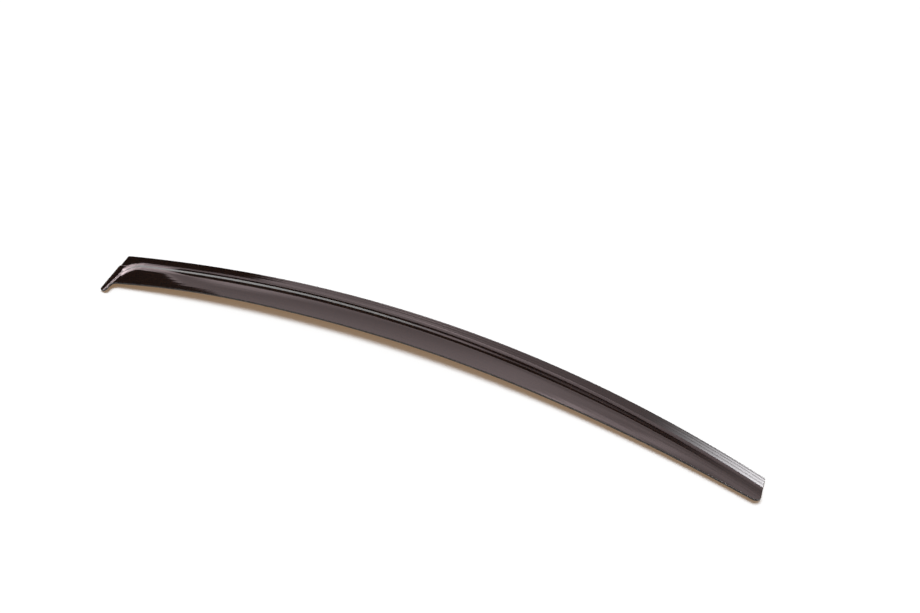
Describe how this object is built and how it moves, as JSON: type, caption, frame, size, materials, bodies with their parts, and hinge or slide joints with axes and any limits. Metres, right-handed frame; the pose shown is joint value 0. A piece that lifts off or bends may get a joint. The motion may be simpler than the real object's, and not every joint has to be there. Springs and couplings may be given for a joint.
{
  "type": "window rain deflector",
  "caption": "Curved smoked acrylic rain deflector for a car's front side window: bonding flange, raised blade with a free lower edge, closed stepped rear end and slim front end.",
  "frame": {"origin": "middle of the bonding flange's inner face, halfway along the length", "axes": "+X along the length from the wide rear end to the slim front end, +Y across towards the bonding flange's outer edge, +Z out of the car, square to the bonding face"},
  "size_m": [0.9819, 0.1723, 0.0188],
  "materials": {
    "smoked_acrylic": "high gloss, dark brown smoked tint that lets a little light through"
  },
  "bodies": {
    "root": {"deflector": "smoked_acrylic"}
  },
  "joints": []
}
